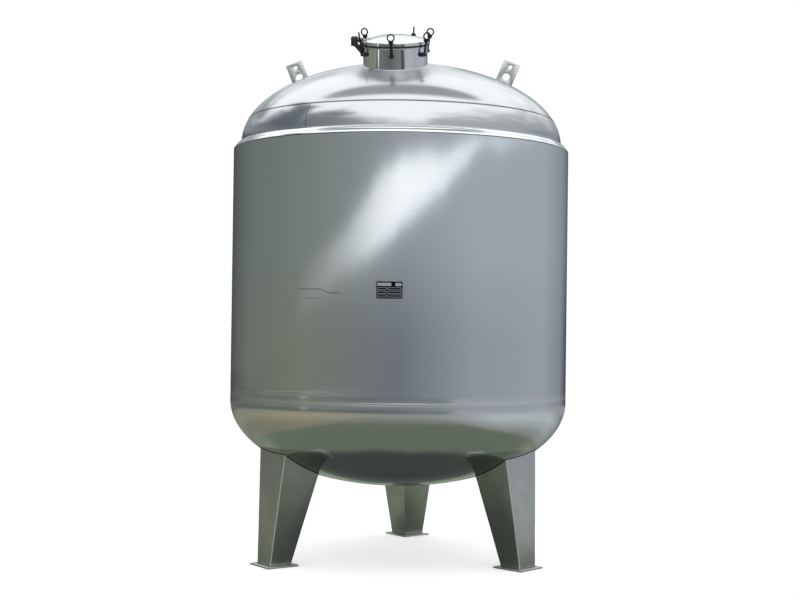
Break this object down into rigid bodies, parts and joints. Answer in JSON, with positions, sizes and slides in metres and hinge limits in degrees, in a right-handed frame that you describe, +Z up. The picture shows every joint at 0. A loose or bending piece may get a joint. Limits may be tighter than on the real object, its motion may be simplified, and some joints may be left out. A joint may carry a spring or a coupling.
{
  "type": "vertical storage tank",
  "caption": "Upright stainless steel storage tank: insulated round jacket, domed ends, bolted manway with a hinged lid, lifting lugs and tapered box legs on foot plates.",
  "frame": {"origin": "on the floor under the tank's axis, level with the underside of the foot plates", "axes": "+Z up along the tank's axis, -Y towards the front, where the manway and the name plate are, +X to the right seen from the front"},
  "size_m": [2.2, 2.2027, 3.4083],
  "materials": {
    "jacket_steel": "cold-rolled stainless sheet, semi-bright",
    "vessel_steel": "polished stainless plate",
    "leg_steel": "folded stainless plate, mill finish",
    "manway_steel": "polished stainless",
    "bolt_steel": "turned stainless",
    "gasket_rubber": "black moulded rubber",
    "name_plate": "black anodised, with a bare edge"
  },
  "bodies": {
    "tank": {"bolt_bracket_1": "manway_steel", "bolt_bracket_2": "manway_steel", "bolt_bracket_3": "manway_steel", "bolt_bracket_4": "manway_steel", "bolt_bracket_5": "manway_steel", "bolt_bracket_6": "manway_steel", "foot_plate_back": "leg_steel", "foot_plate_left": "leg_steel", "foot_plate_right": "leg_steel", "hinge_bracket": "manway_steel", "jacket_bottom_head_back": "jacket_steel", "jacket_bottom_head_front": "jacket_steel", "jacket_closure_ring": "vessel_steel", "jacket_shell_back": "jacket_steel", "jacket_shell_front": "jacket_steel", "leg_back": "leg_steel", "leg_left": "leg_steel", "leg_right": "leg_steel", "lifting_lug_left": "leg_steel", "lifting_lug_right": "leg_steel", "manway_flange": "manway_steel", "manway_gasket": "gasket_rubber", "manway_neck": "manway_steel", "name_plate": "name_plate", "vessel_bottom_crown": "vessel_steel", "vessel_bottom_knuckle_back": "vessel_steel", "vessel_bottom_knuckle_front": "vessel_steel", "vessel_shell_back": "vessel_steel", "vessel_shell_front": "vessel_steel", "vessel_top_head": "vessel_steel"},
    "lid": {"lid_hinge_arm": "manway_steel", "manway_lid": "manway_steel"},
    "bolt_1": {"swing_bolt_1": "bolt_steel", "eye_nut_1": "bolt_steel"},
    "bolt_2": {"swing_bolt_2": "bolt_steel", "eye_nut_2": "bolt_steel"},
    "bolt_3": {"swing_bolt_3": "bolt_steel", "eye_nut_3": "bolt_steel"},
    "bolt_4": {"swing_bolt_4": "bolt_steel", "eye_nut_4": "bolt_steel"},
    "bolt_5": {"swing_bolt_5": "bolt_steel", "eye_nut_5": "bolt_steel"},
    "bolt_6": {"swing_bolt_6": "bolt_steel", "eye_nut_6": "bolt_steel"}
  },
  "joints": [
    {"name": "lid_swing", "type": "hinge", "parent": "tank", "child": "lid", "pos_m": [-0.307, -0.57309, 3.2926], "axis": [-0.1195, -0.9463, -0.3005], "range_deg": [0, 110]},
    {"name": "bolt_1_swing", "type": "hinge", "parent": "tank", "child": "bolt_1", "pos_m": [-0.078, -0.7874, 3.14261], "axis": [0.9925, -0.122, -0.0105], "range_deg": [-9.5, 90.5]},
    {"name": "bolt_2_swing", "type": "hinge", "parent": "tank", "child": "bolt_2", "pos_m": [0.1247, -0.70637, 3.17373], "axis": [0.5997, 0.7585, 0.255], "range_deg": [-9.5, 90.5]},
    {"name": "bolt_3_swing", "type": "hinge", "parent": "tank", "child": "bolt_3", "pos_m": [0.15104, -0.49772, 3.23998], "axis": [-0.3928, 0.8805, 0.2655], "range_deg": [-9.5, 90.5]},
    {"name": "bolt_4_swing", "type": "hinge", "parent": "tank", "child": "bolt_4", "pos_m": [0.05811, -0.39719, 3.26894], "axis": [-0.8669, 0.482, 0.1271], "range_deg": [-9.5, 90.5]},
    {"name": "bolt_5_swing", "type": "hinge", "parent": "tank", "child": "bolt_5", "pos_m": [-0.228, -0.45112, 3.24399], "axis": [-0.5997, -0.7585, -0.255], "range_deg": [-9.5, 90.5]},
    {"name": "bolt_6_swing", "type": "hinge", "parent": "tank", "child": "bolt_6", "pos_m": [-0.25435, -0.65978, 3.17774], "axis": [0.3928, -0.8805, -0.2655], "range_deg": [-9.5, 90.5]}
  ]
}
